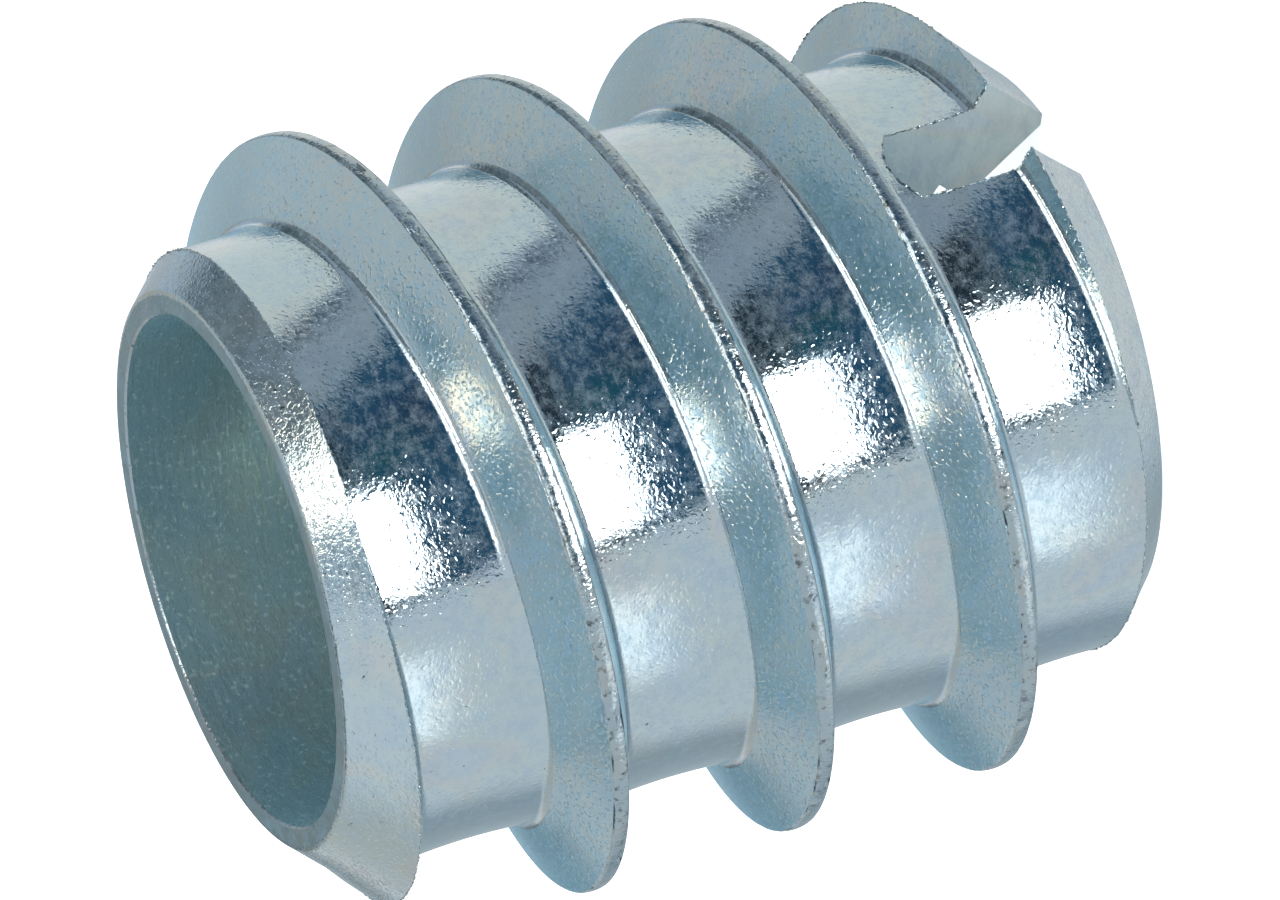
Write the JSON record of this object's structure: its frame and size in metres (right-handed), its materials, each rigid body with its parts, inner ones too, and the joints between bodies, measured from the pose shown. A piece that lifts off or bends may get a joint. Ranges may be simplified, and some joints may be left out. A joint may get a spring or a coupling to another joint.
{
  "type": "threaded insert",
  "caption": "Screw-in threaded insert with a coarse outer thread, a driver slot across one end, a tapped hole and a smooth lead bore.",
  "frame": {"origin": "on the axis at the plane of the slotted end, which the insert stands on", "axes": "+Z along the axis from the slotted end to the lead end, X along the driver slot"},
  "size_m": [0.011, 0.011, 0.012],
  "materials": {
    "zinc_plated_steel": "bright zinc plating with a clear blue passivation"
  },
  "bodies": {
    "root": {"insert": "zinc_plated_steel"}
  },
  "joints": []
}
